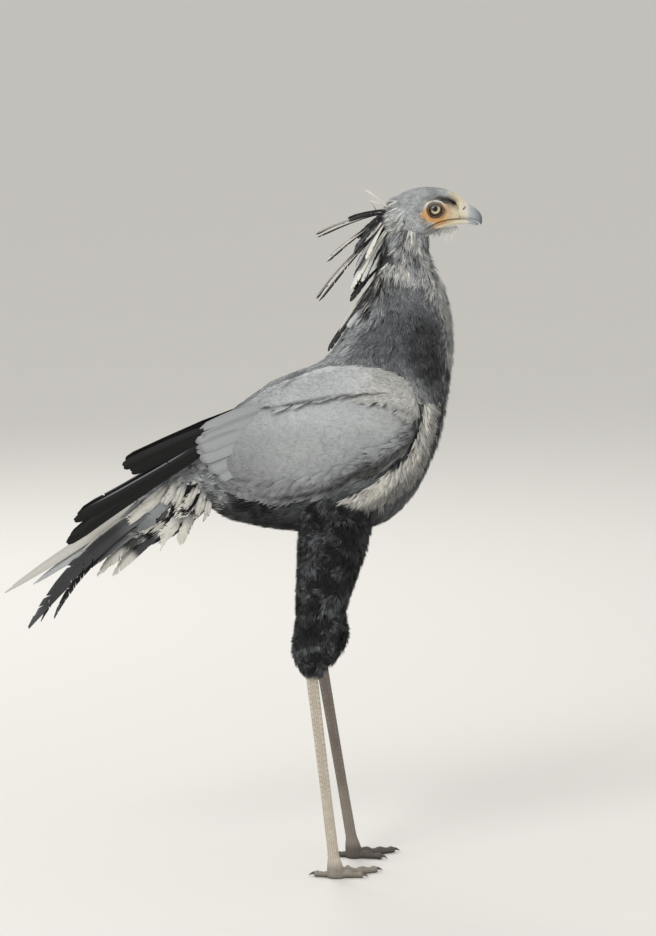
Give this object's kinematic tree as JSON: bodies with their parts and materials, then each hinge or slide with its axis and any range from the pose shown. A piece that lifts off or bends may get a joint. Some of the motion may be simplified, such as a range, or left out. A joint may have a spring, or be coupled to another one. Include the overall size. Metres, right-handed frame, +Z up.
{
  "type": "secretary bird",
  "caption": "Tall long-legged bird of prey standing in profile, with a quill crest, hooked bill, folded wings, long tail and feathered thighs.",
  "frame": {"origin": "on the ground, under the middle of the length from bill tip to tail tip", "axes": "+X the way the bird faces, +Y its left side, +Z up"},
  "size_m": [0.7406, 0.2223, 1.0675],
  "materials": {
    "black_feathers": "soft black feathers",
    "grey_feathers": "soft matt feathers",
    "eye": "polished",
    "face_skin": "bare waxy skin",
    "bill_horn": "satin horn",
    "pale_feathers": "smooth matt feathers",
    "flight_feathers": "firm black vanes",
    "tail_feathers": "firm grey and white vanes",
    "leg_scales": "dry scaled skin",
    "claw_horn": "satin horn"
  },
  "bodies": {
    "root": {"torso": "black_feathers", "neck": "grey_feathers", "eye_right": "eye", "eye_left": "eye", "head": "face_skin", "bill_upper": "bill_horn", "bill_lower": "bill_horn", "wing_right": "pale_feathers", "flight_right": "flight_feathers", "wing_left": "pale_feathers", "flight_left": "flight_feathers", "tail": "tail_feathers", "thigh_right": "black_feathers", "shank_right": "leg_scales", "foot_right": "leg_scales", "claw_right_middle": "claw_horn", "claw_right_outer": "claw_horn", "claw_right_inner": "claw_horn", "claw_right_hind": "claw_horn", "thigh_left": "black_feathers", "shank_left": "leg_scales", "foot_left": "leg_scales", "claw_left_middle": "claw_horn", "claw_left_outer": "claw_horn", "claw_left_inner": "claw_horn", "claw_left_hind": "claw_horn"}
  },
  "joints": []
}
